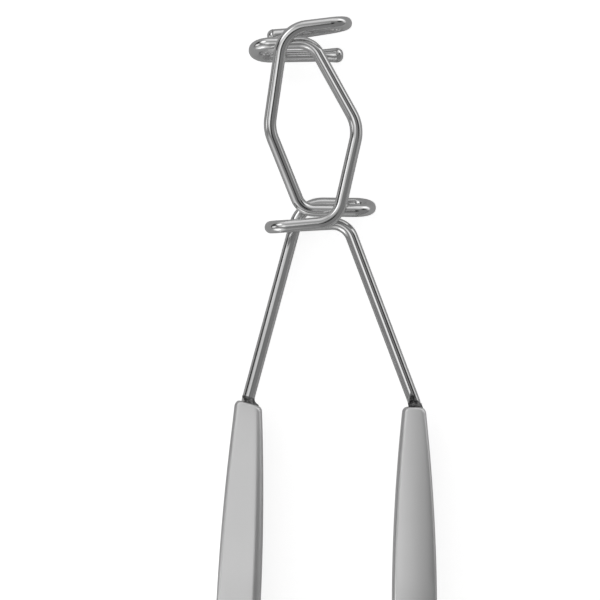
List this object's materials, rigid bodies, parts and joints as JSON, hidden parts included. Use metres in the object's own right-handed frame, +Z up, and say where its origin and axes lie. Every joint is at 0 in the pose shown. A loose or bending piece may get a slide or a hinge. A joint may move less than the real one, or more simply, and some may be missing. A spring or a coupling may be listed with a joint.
{
  "type": "eye speculum",
  "caption": "Hand-held wire eye speculum: a pair of bent wire blades with interlaced hooked ends, brazed into slender tapered handles that are joined by a spring heel.",
  "frame": {"origin": "middle of the bounding box on the table, under the gap between the handles, as the instrument lies flat", "axes": "+X across the handles towards the right handle, +Y along the instrument from the heel to the wire hooks, +Z up from the table"},
  "size_m": [0.0212, 0.1252, 0.007],
  "materials": {
    "wire": "polished stainless steel wire",
    "handle": "satin stainless steel",
    "braze": "dull silver solder"
  },
  "bodies": {
    "heel": {"heel_spacer": "handle"},
    "left_arm": {"left_handle": "handle", "left_blade": "wire", "left_braze": "braze"},
    "right_arm": {"right_handle": "handle", "right_blade": "wire", "right_braze": "braze"}
  },
  "joints": [
    {"name": "left_flex", "type": "hinge", "parent": "heel", "child": "left_arm", "pos_m": [-0.0008, -0.05462, 0.0035], "axis": [0, 0, -1], "range_deg": [0, 1], "stiffness_Nm_per_rad": 6},
    {"name": "right_flex", "type": "hinge", "parent": "heel", "child": "right_arm", "pos_m": [0.0008, -0.05462, 0.0035], "axis": [0, 0, 1], "range_deg": [0, 1], "stiffness_Nm_per_rad": 6}
  ]
}
